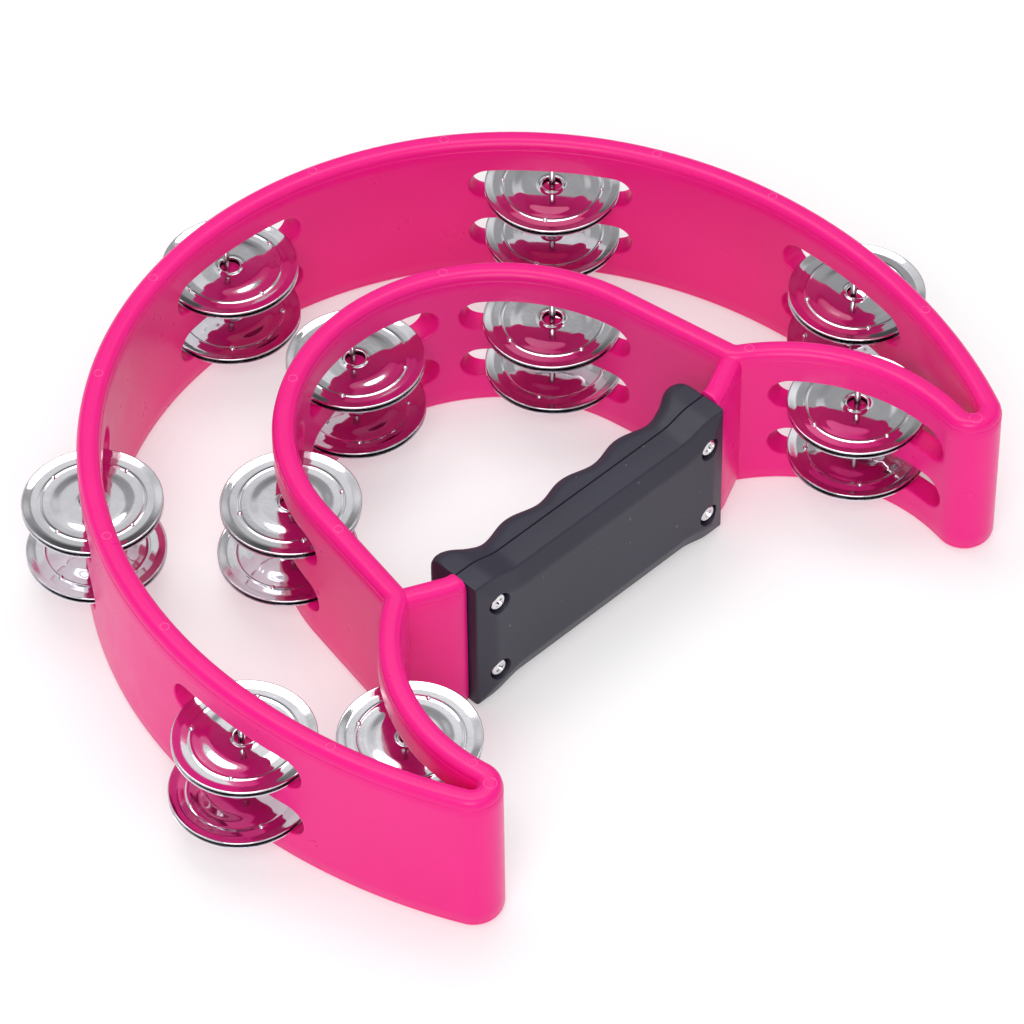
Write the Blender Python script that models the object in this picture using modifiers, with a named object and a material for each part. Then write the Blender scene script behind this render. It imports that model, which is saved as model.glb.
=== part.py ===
"""Hand tambourine: a moulded frame with ten jingle stations and a screwed-on grip.

Metres, +Z up. The tambourine lies flat on its lower rims. X runs along the grip, +Y points
from the grip to the outer arc, and the origin is the bottom centre of the bounding box.
"""

import math

import bmesh
import bpy
from mathutils import Matrix, Vector

# Walls of the frame
HEIGHT = 0.0493
WALL = 0.0065
RIM_ROUNDING = 0.0024
RIM_SEGMENTS = 2

# Plan of the outer wall's middle line: radius = mean + sum of cosines of the angle from +Y
OUTER_MEAN = 0.1218
OUTER_COSINES = {2: 0.00785, 3: -0.00125, 4: 0.0002}
TIP_ANGLE = math.radians(124.6)
TIP_RADIUS = 0.0049
OUTER_STEPS = 29
TIP_POINTS = 8

# Plan of the inner wall's middle line: cusps, central arc and horns
CUSP_X = 0.0622
CUSP_Y = -0.0059
CENTRAL_RADIUS = 0.0567
CENTRAL_Y = 0.0209
HORN_RADIUS = 0.0545
CENTRAL_POINTS = 13
HORN_POINTS = 12

# Puts the origin at the middle of the whole plan, jingles included
PLAN_SHIFT = -0.0367

# Jingle stations: angles on the outer and central arcs, and a share of the horn's arc
OUTER_STATIONS = [math.radians(angle) for angle in (-91.0, -44.5, 0.0, 44.5, 91.0)]
CENTRAL_STATIONS = [math.radians(angle) for angle in (-59.4, 0.0, 59.4)]
HORN_STATION = 0.49
SLOT_HEIGHT = 0.0102
SLOT_PITCH = 0.0182
SLOT_LENGTHS = {"outer": 0.0456, "central": 0.048, "horn": 0.051}
SLOT_SHIFTS = {"outer": 0.0, "central": 0.0, "horn": -0.003}
SLOT_END_STEP = 30

# Pins and jingles
PIN_RADIUS = 0.0009
PIN_HOLE_RADIUS = 0.0012
PIN_TOP_COVER = 0.004
PIN_END_GAP = 0.0003
PIN_SIDES = 10
JINGLE_RADIUS = 0.019
JINGLE_HOLE_RADIUS = 0.0028
JINGLE_FLAT_RADIUS = 0.0085
JINGLE_SHEET = 0.0005
JINGLE_RISE = 0.00065
JINGLE_STEPS = 20
JINGLE_FLOOR_GAP = 0.00045
PAIR_GAP = 0.0003

# How far a loose pair has slid on its pin, outwards from the wall: (lower pair, upper pair)
JINGLE_SWAY = {
    "outer1": (0.0014, -0.0010),
    "outer3": (-0.0014, -0.0014),
    "outer5": (0.0014, 0.0012),
    "inner1": (-0.0015, -0.0015),
    "inner2": (0.0015, 0.0),
    "inner3": (-0.0010, -0.0010),
    "inner4": (0.0014, 0.0),
    "inner5": (-0.0014, 0.0),
}

# Cross bar: two stubs that slope inwards from the cusps, and a thinner core inside the grip
STUB_BEND_X = 0.0485
STUB_RUN_X = 0.0380
STUB_INNER_X = 0.0463
STUB_INNER_Y = -0.0121
STUB_BOTTOM = 0.001
STUB_TOP = 0.0483
CORE_END_X = 0.0495
CORE_BACK_Y = -0.0093
CORE_FRONT_Y = -0.0132
CORE_BOTTOM = 0.0075
CORE_TOP = 0.0418

# Grip
GRIP_END_X = 0.0460
GRIP_BOTTOM = 0.0021
GRIP_TOP = 0.0472
GRIP_SEAM_Y = -0.0105
GRIP_FRONT_Y = -0.0203
GRIP_EDGE_Y = -0.0181
GRIP_END_BEVEL = 0.0056
GRIP_LONG_BEVEL = 0.0058
GRIP_FACE_CUTS = 13
GRIP_WAIST = 0.0022
GRIP_WAIST_START = 0.030
GRIP_WAIST_END = 0.041
GRIP_BACK_Y = -0.0031
GROOVE_DEPTH = 0.0010
GROOVE_PITCH = 0.0204
LIP_HEIGHT = 0.0042
LIP_LENGTH = 0.0095
LIP_CORNER = 0.003
LIP_CORNER_SHARE = 0.7
REAR_SECTIONS = 46
GRIP_ROUNDING = 0.0045
GRIP_ROUNDING_STEPS = 3
FIT_GAP = 0.0003

# Grip screws
SCREW_X = 0.0391
SCREW_Z = (0.0127, 0.0384)
SCREW_HEAD_RADIUS = 0.0026
SCREW_HEAD_HEIGHT = 0.0020
SCREW_SHANK_RADIUS = 0.0014
SCREW_HEAD_Y = -0.0197
SCREW_TIP_Y = -0.0058
RECESS_RADIUS = 0.0033
SCREW_SIDES = 14
SCREW_HOLE_SIDES = 16
# Share of the head's radius and height at its crown and shoulder
SCREW_CROWN = (0.75, 0.12)
SCREW_SHOULDER = (1.0, 0.5)

CUT_MARGIN = 0.004

# Looks: colour, roughness, metallic
PINK_GLOSS = ((0.88, 0.035, 0.22, 1.0), 0.28, 0.0)
DARK_SATIN = ((0.045, 0.045, 0.058, 1.0), 0.5, 0.0)
CHROME = ((0.78, 0.77, 0.79, 1.0), 0.12, 1.0)
PIN_STEEL = ((0.55, 0.55, 0.56, 1.0), 0.2, 1.0)
SCREW_STEEL = ((0.55, 0.55, 0.56, 1.0), 0.3, 1.0)


def clear_scene():
    for item in list(bpy.data.objects):
        bpy.data.objects.remove(item, do_unlink=True)


def new_collection(name):
    collection = bpy.data.collections.new(name)
    bpy.context.scene.collection.children.link(collection)
    return collection


def new_object(name, mesh, collection, location=(0.0, 0.0, 0.0)):
    item = bpy.data.objects.new(name, mesh)
    item.location = location
    collection.objects.link(item)
    return item


def give_material(item, look):
    colour, roughness, metallic = look
    material = bpy.data.materials.new(item.name + "_material")
    material.use_nodes = True
    shader = material.node_tree.nodes["Principled BSDF"]
    shader.inputs["Base Color"].default_value = colour
    shader.inputs["Roughness"].default_value = roughness
    shader.inputs["Metallic"].default_value = metallic
    if item.data.materials:
        item.data.materials[0] = material
    else:
        item.data.materials.append(material)


def as_cutter(item):
    item.hide_render = True
    item.display_type = "WIRE"


def add_boolean(item, operation, other=None, collection=None):
    modifier = item.modifiers.new(operation.title(), "BOOLEAN")
    modifier.operation = operation
    modifier.solver = "EXACT"
    if collection:
        modifier.operand_type = "COLLECTION"
        modifier.collection = collection
    else:
        modifier.object = other


def outer_point(angle):
    """Middle of the outer wall at an angle from +Y, turning towards +X."""
    radius = OUTER_MEAN + sum(
        size * math.cos(order * angle) for order, size in OUTER_COSINES.items()
    )
    return Vector((radius * math.sin(angle), radius * math.cos(angle) + PLAN_SHIFT))


def direction(angle):
    return Vector((math.cos(angle), math.sin(angle)))


def arc_points(centre, radius, start, end, count):
    """Points along an arc, its two ends included."""
    return [
        centre + radius * direction(start + (end - start) * index / (count - 1))
        for index in range(count)
    ]


def outer_tangent(angle, step=1e-4):
    return (outer_point(angle + step) - outer_point(angle - step)).normalized()


def central_centre():
    return Vector((0.0, CENTRAL_Y + PLAN_SHIFT))


def cusp():
    return Vector((CUSP_X, CUSP_Y + PLAN_SHIFT))


def tip_centre():
    tangent = outer_tangent(TIP_ANGLE)
    return outer_point(TIP_ANGLE) + TIP_RADIUS * Vector((tangent.y, -tangent.x))


def horn_centre():
    """Centre of the arc through the cusp that touches the tip's circle from outside."""
    span = tip_centre() - cusp()
    reach = HORN_RADIUS + TIP_RADIUS
    along = (span.length_squared + HORN_RADIUS**2 - reach**2) / (2 * span.length)
    aside = math.sqrt(HORN_RADIUS**2 - along**2)
    unit = span.normalized()
    return cusp() + along * unit + aside * Vector((unit.y, -unit.x))


def horn_angles():
    to_tip = tip_centre() - horn_centre()
    to_cusp = cusp() - horn_centre()
    return math.atan2(to_tip.y, to_tip.x), math.atan2(to_cusp.y, to_cusp.x)


def central_tangent_angle():
    """Angle, seen from the central arc's centre, where the straight run from the cusp meets it."""
    to_cusp = cusp() - central_centre()
    return math.atan2(to_cusp.y, to_cusp.x) + math.acos(CENTRAL_RADIUS / to_cusp.length)


def half_loop():
    """The right half of the walls' middle line, from the outer arc's top to the central arc's."""
    outer = [outer_point(TIP_ANGLE * index / OUTER_STEPS) for index in range(OUTER_STEPS + 1)]
    tip_start = outer[-1] - tip_centre()
    start = math.atan2(tip_start.y, tip_start.x)
    horn_start, horn_end = horn_angles()
    tip = arc_points(tip_centre(), TIP_RADIUS, start, horn_start - math.pi, TIP_POINTS)
    horn = arc_points(horn_centre(), HORN_RADIUS, horn_start, horn_end, HORN_POINTS)
    tangent = central_tangent_angle()
    central = arc_points(central_centre(), CENTRAL_RADIUS, tangent, math.pi / 2, CENTRAL_POINTS)
    return outer + tip[1:] + horn[1:] + central


def ribbon_wall(name, points, closed, bottom, top, collection):
    """An upright wall of even thickness along a line of plan points, with rounded rims."""
    mesh = bpy.data.meshes.new(name)
    shape = bmesh.new()
    corners = [shape.verts.new((point.x, point.y, bottom)) for point in points]
    pairs = list(zip(corners, corners[1:]))
    if closed:
        pairs.append((corners[-1], corners[0]))
    edges = [shape.edges.new(pair) for pair in pairs]
    raised = bmesh.ops.extrude_edge_only(shape, edges=edges)["geom"]
    lifted = [part for part in raised if isinstance(part, bmesh.types.BMVert)]
    bmesh.ops.translate(shape, verts=lifted, vec=(0.0, 0.0, top - bottom))
    bmesh.ops.recalc_face_normals(shape, faces=shape.faces)
    shape.to_mesh(mesh)
    shape.free()
    wall = new_object(name, mesh, collection)
    thick = wall.modifiers.new("Thickness", "SOLIDIFY")
    thick.thickness = WALL
    thick.offset = 0.0
    thick.use_even_offset = True
    rims = wall.modifiers.new("Rims", "BEVEL")
    rims.width = RIM_ROUNDING
    rims.segments = RIM_SEGMENTS
    rims.limit_method = "ANGLE"
    rims.angle_limit = math.radians(60.0)
    rims.use_clamp_overlap = False
    return wall


def outline_prism(name, outline, depth, collection):
    """A flat closed outline in its own XY plane, extruded to a depth along its Z, as a mesh."""
    curve = bpy.data.curves.new(name, "CURVE")
    curve.dimensions = "2D"
    curve.fill_mode = "BOTH"
    curve.extrude = depth / 2
    spline = curve.splines.new("POLY")
    spline.points.add(len(outline) - 1)
    for point, (x, y) in zip(spline.points, outline):
        point.co = (x, y, 0.0, 1.0)
    spline.use_cyclic_u = True
    source = new_object(name + "_outline", curve, collection)
    bpy.context.view_layer.update()
    graph = bpy.context.evaluated_depsgraph_get()
    mesh = bpy.data.meshes.new_from_object(source.evaluated_get(graph))
    shape = bmesh.new()
    shape.from_mesh(mesh)
    bmesh.ops.remove_doubles(shape, verts=shape.verts, dist=1e-6)
    bmesh.ops.recalc_face_normals(shape, faces=shape.faces)
    shape.to_mesh(mesh)
    shape.free()
    bpy.data.objects.remove(source)
    return new_object(name, mesh, collection)


def cylinder_mesh(name, radius, depth, sides):
    mesh = bpy.data.meshes.new(name)
    shape = bmesh.new()
    bmesh.ops.create_cone(
        shape, cap_ends=True, segments=sides, radius1=radius, radius2=radius, depth=depth
    )
    shape.to_mesh(mesh)
    shape.free()
    return mesh


def box_mesh(name, low, high):
    mesh = bpy.data.meshes.new(name)
    shape = bmesh.new()
    bmesh.ops.create_cube(shape, size=1.0)
    low, high = Vector(low), Vector(high)
    bmesh.ops.scale(shape, vec=high - low, verts=shape.verts)
    bmesh.ops.translate(shape, vec=(low + high) / 2, verts=shape.verts)
    shape.to_mesh(mesh)
    shape.free()
    return mesh


def stations():
    """(name, pin place, wall direction, kind) of each station."""
    found = []
    for index, angle in enumerate(OUTER_STATIONS):
        place = outer_point(angle)
        found.append((f"outer{index + 1}", place, outer_tangent(angle), "outer"))
    horn_start, horn_end = horn_angles()
    horn_angle = horn_start + (horn_end - horn_start) * HORN_STATION
    horn_place = horn_centre() + HORN_RADIUS * direction(horn_angle)
    horn_along = Vector((-math.sin(horn_angle), math.cos(horn_angle)))
    mirror = Vector((-1.0, 1.0))
    inner = [(horn_place * mirror, horn_along * mirror, "horn")]
    for angle in CENTRAL_STATIONS:
        outwards = Vector((math.sin(angle), math.cos(angle)))
        place = central_centre() + CENTRAL_RADIUS * outwards
        inner.append((place, Vector((outwards.y, -outwards.x)), "central"))
    inner.append((horn_place, horn_along, "horn"))
    for index, (place, along, kind) in enumerate(inner):
        found.append((f"inner{index + 1}", place, along, kind))
    return found


def slot_heights():
    """Middle heights of the lower and the upper slot."""
    return {
        "lower": HEIGHT / 2 - SLOT_PITCH / 2,
        "upper": HEIGHT / 2 + SLOT_PITCH / 2,
    }


def slot_outline(length):
    """A stadium, round at both ends, with X along the slot and Y up."""
    radius = SLOT_HEIGHT / 2
    straight = length / 2 - radius
    right = [
        Vector((straight, 0.0)) + radius * direction(math.radians(angle))
        for angle in range(-90, 91, SLOT_END_STEP)
    ]
    return right + [Vector((-point.x, -point.y)) for point in right]


def make_slot_cutters(collection):
    for name, place, along, kind in stations():
        outline = slot_outline(SLOT_LENGTHS[kind])
        centre = place + SLOT_SHIFTS[kind] * along
        for row, height in slot_heights().items():
            depth = WALL + 2 * CUT_MARGIN
            cutter = outline_prism(f"slot_{name}_{row}", outline, depth, collection)
            sideways = Vector((along.y, -along.x))
            turn = Matrix(
                (
                    (along.x, 0.0, sideways.x, centre.x),
                    (along.y, 0.0, sideways.y, centre.y),
                    (0.0, 1.0, 0.0, height),
                    (0.0, 0.0, 0.0, 1.0),
                )
            )
            cutter.matrix_world = turn
            as_cutter(cutter)


def make_pin_hole_cutters(collection):
    top = HEIGHT - PIN_TOP_COVER
    depth = top + CUT_MARGIN
    for name, place, _, _ in stations():
        mesh = cylinder_mesh(f"pin_hole_{name}", PIN_HOLE_RADIUS, depth, PIN_SIDES)
        middle = (top - CUT_MARGIN) / 2
        as_cutter(new_object(mesh.name, mesh, collection, (place.x, place.y, middle)))


def make_screw_hole_cutters(collection, name, radius, front_y, back_y):
    """One cylinder along Y through each screw's place."""
    for index, (x, z) in enumerate(screw_places()):
        depth = abs(back_y - front_y)
        mesh = cylinder_mesh(f"{name}_{index + 1}", radius, depth, SCREW_HOLE_SIDES)
        place = (x, (front_y + back_y) / 2 + PLAN_SHIFT, z)
        cutter = new_object(mesh.name, mesh, collection, place)
        cutter.rotation_euler.x = math.pi / 2
        as_cutter(cutter)


def screw_places():
    return [(x, z) for x in (-SCREW_X, SCREW_X) for z in SCREW_Z]


def make_grip_clearance(collection):
    """The space that the grip takes, which the full-height stubs stop short of."""
    low = (-STUB_INNER_X, GRIP_FRONT_Y + PLAN_SHIFT, -CUT_MARGIN)
    high = (STUB_INNER_X, PLAN_SHIFT, HEIGHT + CUT_MARGIN)
    clearance = new_object("grip_clearance", box_mesh("grip_clearance", low, high), collection)
    as_cutter(clearance)
    return clearance


def make_stub(side, clearance, collection):
    """One sloping end of the cross bar, from inside the cusp to just short of the grip."""
    line = [(CUSP_X, CUSP_Y), (STUB_BEND_X, STUB_INNER_Y), (STUB_RUN_X, STUB_INNER_Y)]
    points = [Vector((side * x, y + PLAN_SHIFT)) for x, y in line]
    name = "stub_left" if side < 0 else "stub_right"
    stub = ribbon_wall(name, points, False, STUB_BOTTOM, STUB_TOP, collection)
    add_boolean(stub, "DIFFERENCE", clearance)
    as_cutter(stub)
    return stub


def make_core(collection):
    low = (-CORE_END_X, CORE_FRONT_Y + PLAN_SHIFT, CORE_BOTTOM)
    high = (CORE_END_X, CORE_BACK_Y + PLAN_SHIFT, CORE_TOP)
    core = new_object("core", box_mesh("core", low, high), collection)
    as_cutter(core)
    return core


def make_frame(parts, cutters):
    right = half_loop()
    left = [Vector((-point.x, point.y)) for point in reversed(right[1:-1])]
    frame = ribbon_wall("frame", right + left, True, 0.0, HEIGHT, parts)
    clearance = make_grip_clearance(cutters)
    add_boolean(frame, "UNION", make_stub(-1, clearance, cutters))
    add_boolean(frame, "UNION", make_stub(1, clearance, cutters))
    add_boolean(frame, "UNION", make_core(cutters))
    holes = bpy.data.collections.new("frame_holes")
    cutters.children.link(holes)
    make_slot_cutters(holes)
    make_pin_hole_cutters(holes)
    shank_hole = SCREW_SHANK_RADIUS + FIT_GAP
    make_screw_hole_cutters(holes, "core_hole", shank_hole, GRIP_FRONT_Y, GRIP_BACK_Y)
    add_boolean(frame, "DIFFERENCE", collection=holes)
    give_material(frame, PINK_GLOSS)


def make_pin(name, place, parts):
    bottom = PIN_END_GAP
    top = HEIGHT - PIN_TOP_COVER - PIN_END_GAP
    mesh = cylinder_mesh(name, PIN_RADIUS, top - bottom, PIN_SIDES)
    pin = new_object(name, mesh, parts, (place.x, place.y, (bottom + top) / 2))
    give_material(pin, PIN_STEEL)


def jingle_mesh(name):
    """The closed section of a dished disc, to the right of its axis, centre flat at the bottom."""
    mesh = bpy.data.meshes.new(name)
    shape = bmesh.new()
    under = [(JINGLE_HOLE_RADIUS, 0.0), (JINGLE_FLAT_RADIUS, 0.0), (JINGLE_RADIUS, JINGLE_RISE)]
    over = [(radius, height + JINGLE_SHEET) for radius, height in under]
    profile = over + under[::-1]
    corners = [shape.verts.new((radius, 0.0, height)) for radius, height in profile]
    for start, end in zip(corners, corners[1:] + corners[:1]):
        shape.edges.new((start, end))
    shape.to_mesh(mesh)
    shape.free()
    return mesh


def make_jingle(name, place, height, dish_down, parts):
    jingle = new_object(name, jingle_mesh(name), parts, (place.x, place.y, height))
    if dish_down:
        jingle.rotation_euler.x = math.pi
    turn = jingle.modifiers.new("Turn", "SCREW")
    turn.steps = JINGLE_STEPS
    turn.render_steps = JINGLE_STEPS
    turn.use_merge_vertices = True
    turn.merge_threshold = 1e-5
    turn.use_smooth_shade = False
    give_material(jingle, CHROME)


def make_station(name, place, along, parts):
    """A pin and the pair of jingles in each of its two slots, lying on the slots' floors."""
    make_pin(f"pin_{name}", place, parts)
    disc_height = JINGLE_RISE + JINGLE_SHEET
    outwards = Vector((-along.y, along.x))
    sways = JINGLE_SWAY.get(name, (0.0, 0.0))
    for (row, middle), sway in zip(slot_heights().items(), sways):
        centre = place + sway * outwards
        floor = middle - SLOT_HEIGHT / 2
        low_flat = floor + JINGLE_FLOOR_GAP + disc_height
        make_jingle(f"jingle_{name}_{row}_under", centre, low_flat, True, parts)
        make_jingle(f"jingle_{name}_{row}_over", centre, low_flat + PAIR_GAP, False, parts)


def grip_waist(x):
    """How far the grip's long edges come in at x."""
    share = (abs(x) - GRIP_WAIST_START) / (GRIP_WAIST_END - GRIP_WAIST_START)
    share = min(1.0, max(0.0, share))
    return GRIP_WAIST * (1 + math.cos(math.pi * share)) / 2


def grip_depth_back(x):
    """How far back the rear half reaches at x: four finger grooves between two end lips."""
    wave = GROOVE_DEPTH * math.cos(2 * math.pi * x / GROOVE_PITCH)
    inside = GRIP_END_X - abs(x)
    rise = min(1.0, max(0.0, (LIP_LENGTH - inside) / (LIP_LENGTH - LIP_CORNER)))
    blend = rise * rise * (3 - 2 * rise)
    past = max(0.0, 1 - inside / LIP_CORNER)
    corner = LIP_CORNER * (1 - math.sqrt(1 - past * past)) * LIP_CORNER_SHARE
    return GRIP_BACK_Y + wave * (1 - blend) + (LIP_HEIGHT - GROOVE_DEPTH) * blend - corner


def make_pocket(name, front_y, back_y, cutters):
    """The space in a grip half that the frame's core passes through, open at both ends."""
    low = (-GRIP_END_X - CUT_MARGIN, front_y + PLAN_SHIFT, CORE_BOTTOM - FIT_GAP)
    high = (GRIP_END_X + CUT_MARGIN, back_y + PLAN_SHIFT, CORE_TOP + FIT_GAP)
    pocket = new_object(name, box_mesh(name, low, high), cutters)
    as_cutter(pocket)
    return pocket


def rear_section(x):
    """The rear half's outline at x, as (y, z) from the seam's bottom round the back to its top."""
    seam = GRIP_SEAM_Y + FIT_GAP / 2
    bottom = GRIP_BOTTOM + grip_waist(x)
    top = GRIP_TOP - grip_waist(x)
    inner = grip_depth_back(x) - GRIP_ROUNDING
    quarter = math.pi / 2
    shares = [step / GRIP_ROUNDING_STEPS for step in range(GRIP_ROUNDING_STEPS + 1)]
    lower = [(inner, bottom + GRIP_ROUNDING, quarter * (share - 1)) for share in shares]
    upper = [(inner, top - GRIP_ROUNDING, quarter * share) for share in shares]
    bend = [
        (y + GRIP_ROUNDING * math.cos(turn), z + GRIP_ROUNDING * math.sin(turn))
        for y, z, turn in lower + upper
    ]
    return [(seam, bottom)] + bend + [(seam, top)]


def make_grip_rear(parts, cutters):
    """A loft along X, because the finger grooves change the section all the way."""
    mesh = bpy.data.meshes.new("grip_rear")
    shape = bmesh.new()
    rings = []
    for index in range(REAR_SECTIONS + 1):
        x = GRIP_END_X * (2 * index / REAR_SECTIONS - 1)
        rings.append([shape.verts.new((x, y + PLAN_SHIFT, z)) for y, z in rear_section(x)])
    for ring, following in zip(rings, rings[1:]):
        for here in range(len(ring)):
            beyond = (here + 1) % len(ring)
            shape.faces.new((ring[here], ring[beyond], following[beyond], following[here]))
    shape.faces.new(rings[0])
    shape.faces.new(rings[-1])
    bmesh.ops.recalc_face_normals(shape, faces=shape.faces)
    shape.to_mesh(mesh)
    shape.free()
    rear = new_object("grip_rear", mesh, parts)
    pocket = make_pocket("rear_pocket", GRIP_SEAM_Y - CUT_MARGIN, CORE_BACK_Y + FIT_GAP, cutters)
    add_boolean(rear, "DIFFERENCE", pocket)
    holes = bpy.data.collections.new("rear_holes")
    cutters.children.link(holes)
    shank_hole = SCREW_SHANK_RADIUS + FIT_GAP
    front_y = GRIP_SEAM_Y - CUT_MARGIN
    make_screw_hole_cutters(holes, "rear_hole", shank_hole, front_y, SCREW_TIP_Y + FIT_GAP)
    add_boolean(rear, "DIFFERENCE", collection=holes)
    give_material(rear, DARK_SATIN)


def make_grip_front(parts, cutters):
    """A slab with a raised face inside four bevels, and long edges that come in at the waist."""
    low = Vector((-GRIP_END_X, GRIP_EDGE_Y + PLAN_SHIFT, GRIP_BOTTOM))
    high = Vector((GRIP_END_X, GRIP_SEAM_Y - FIT_GAP / 2 + PLAN_SHIFT, GRIP_TOP))
    mesh = box_mesh("grip_front", low, high)
    shape = bmesh.new()
    shape.from_mesh(mesh)
    lengthways = [
        edge for edge in shape.edges if abs(edge.verts[0].co.x - edge.verts[1].co.x) > GRIP_END_X
    ]
    bmesh.ops.subdivide_edges(shape, edges=lengthways, cuts=GRIP_FACE_CUTS, use_grid_fill=True)
    shape.faces.ensure_lookup_table()
    face = [part for part in shape.faces if part.normal.y < -0.5]
    bmesh.ops.inset_region(
        shape,
        faces=face,
        thickness=GRIP_END_BEVEL,
        depth=GRIP_EDGE_Y - GRIP_FRONT_Y,
        use_even_offset=True,
    )
    middle = (GRIP_TOP + GRIP_BOTTOM) / 2
    raised_y = (GRIP_EDGE_Y + GRIP_FRONT_Y) / 2 + PLAN_SHIFT
    for vertex in shape.verts:
        half = (GRIP_TOP - GRIP_BOTTOM) / 2 - grip_waist(vertex.co.x)
        if vertex.co.y < raised_y:
            half -= GRIP_LONG_BEVEL
        vertex.co.z = middle + math.copysign(half, vertex.co.z - middle)
    bmesh.ops.recalc_face_normals(shape, faces=shape.faces)
    shape.to_mesh(mesh)
    shape.free()
    front = new_object("grip_front", mesh, parts)
    pocket = make_pocket("front_pocket", CORE_FRONT_Y - FIT_GAP, GRIP_SEAM_Y + CUT_MARGIN, cutters)
    add_boolean(front, "DIFFERENCE", pocket)
    holes = bpy.data.collections.new("front_holes")
    cutters.children.link(holes)
    outside = GRIP_FRONT_Y - CUT_MARGIN
    seat = SCREW_HEAD_Y + SCREW_HEAD_HEIGHT + FIT_GAP
    make_screw_hole_cutters(holes, "front_recess", RECESS_RADIUS, outside, seat)
    shank_hole = SCREW_SHANK_RADIUS + FIT_GAP
    make_screw_hole_cutters(holes, "front_hole", shank_hole, seat - CUT_MARGIN / 4, 0.0)
    add_boolean(front, "DIFFERENCE", collection=holes)
    give_material(front, DARK_SATIN)


def screw_mesh(name):
    """The side of a pan-head screw, head up, from its top centre down to its tip."""
    head = SCREW_HEAD_HEIGHT
    length = SCREW_TIP_Y - SCREW_HEAD_Y
    dome = [(SCREW_HEAD_RADIUS * wide, -head * deep) for wide, deep in (SCREW_CROWN, SCREW_SHOULDER)]
    profile = [
        (0.0, 0.0),
        *dome,
        (SCREW_HEAD_RADIUS, -head),
        (SCREW_SHANK_RADIUS, -head),
        (SCREW_SHANK_RADIUS, SCREW_SHANK_RADIUS - length),
        (0.0, -length),
    ]
    mesh = bpy.data.meshes.new(name)
    shape = bmesh.new()
    corners = [shape.verts.new((radius, 0.0, height)) for radius, height in profile]
    for start, end in zip(corners, corners[1:]):
        shape.edges.new((start, end))
    shape.to_mesh(mesh)
    shape.free()
    return mesh


def make_grip_screws(parts):
    for index, (x, z) in enumerate(screw_places()):
        name = f"grip_screw_{index + 1}"
        screw = new_object(name, screw_mesh(name), parts, (x, SCREW_HEAD_Y + PLAN_SHIFT, z))
        screw.rotation_euler.x = math.pi / 2
        turn = screw.modifiers.new("Turn", "SCREW")
        turn.steps = SCREW_SIDES
        turn.render_steps = SCREW_SIDES
        turn.use_merge_vertices = True
        turn.merge_threshold = 1e-5
        give_material(screw, SCREW_STEEL)


def main():
    clear_scene()
    parts = new_collection("tambourine")
    cutters = new_collection("cutters")
    make_frame(parts, cutters)
    for name, place, along, _ in stations():
        make_station(name, place, along, parts)
    make_grip_front(parts, cutters)
    make_grip_rear(parts, cutters)
    make_grip_screws(parts)


main()
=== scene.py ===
"""Looks of a cutaway hand tambourine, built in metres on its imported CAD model."""

import math
import random

import bmesh
import bpy
import numpy as np
from mathutils import Matrix, Vector


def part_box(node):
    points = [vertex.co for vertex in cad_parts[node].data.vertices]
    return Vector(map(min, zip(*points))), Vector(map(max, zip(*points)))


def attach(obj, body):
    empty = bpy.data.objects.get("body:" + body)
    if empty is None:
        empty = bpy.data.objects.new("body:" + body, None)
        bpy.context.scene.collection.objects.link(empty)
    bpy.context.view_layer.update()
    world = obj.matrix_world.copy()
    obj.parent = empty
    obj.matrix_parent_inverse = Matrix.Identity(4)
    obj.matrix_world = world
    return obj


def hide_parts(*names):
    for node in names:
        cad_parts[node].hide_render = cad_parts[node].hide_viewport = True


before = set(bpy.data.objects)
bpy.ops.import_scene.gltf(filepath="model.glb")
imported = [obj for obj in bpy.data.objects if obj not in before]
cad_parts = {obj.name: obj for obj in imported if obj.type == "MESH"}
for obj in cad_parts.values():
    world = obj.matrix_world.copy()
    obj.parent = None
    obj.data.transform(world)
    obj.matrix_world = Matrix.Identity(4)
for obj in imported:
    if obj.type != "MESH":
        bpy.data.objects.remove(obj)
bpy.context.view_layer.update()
ROOT = "handle_frame"
MM = 0.001
FULL_TURN = 2 * math.pi

# Walls
WALL_HALF = 3.25 * MM
OUTER_MEAN = 121.8 * MM
OUTER_COSINES = {2: 7.85 * MM, 3: -1.25 * MM, 4: 0.2 * MM}
TIP_ANGLE = math.radians(124.6)
TIP_RADIUS = 4.9 * MM
CUSP_X = 62.2 * MM
CUSP_Y = -5.9 * MM
CENTRAL_RADIUS = 56.7 * MM
CENTRAL_Y = 20.9 * MM
HORN_RADIUS = 54.5 * MM
CUSP_FILLET = 4.2 * MM
PLAN_STEP = 0.1 * MM
OUTER_SAMPLES = 3000
RUN_SAMPLES = 200

# Section of a wall
RIM_SINK = 0.03 * MM
CAP_RADIUS = 2.3 * MM
CAP_STEPS = 9
CAP_SIDE = 0.3 * MM
LEDGE_WIDTH = 0.16 * MM
LEDGE_DROP = 0.22 * MM
LEDGE_BEND = (0.6, 0.35)  # shares of the ledge's width and drop at its bend
PLAIN_ROWS = 9

# Slots
SLOT_HALF_HEIGHT = 5.1 * MM
SLOT_PITCH = 18.2 * MM
SLOT_LENGTHS = {"outer": 45.6 * MM, "central": 48 * MM, "horn": 51 * MM}
SLOT_SHIFTS = {"inner1": 3 * MM, "inner5": -3 * MM}
SLOT_FILLET = 0.45 * MM
SLOT_FILLET_STEPS = 4
SLOT_FACE_RING = 0.95 * MM
WINDOW_REACH = 34 * MM
WINDOW_SAMPLES = 681
PATCH_MARGIN = 1.7 * MM
PATCH_COLUMN = 1.0 * MM
PATCH_ROWS = 14
COLUMN_STEP = 1.4 * MM
COLUMN_TURN = 0.07

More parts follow.
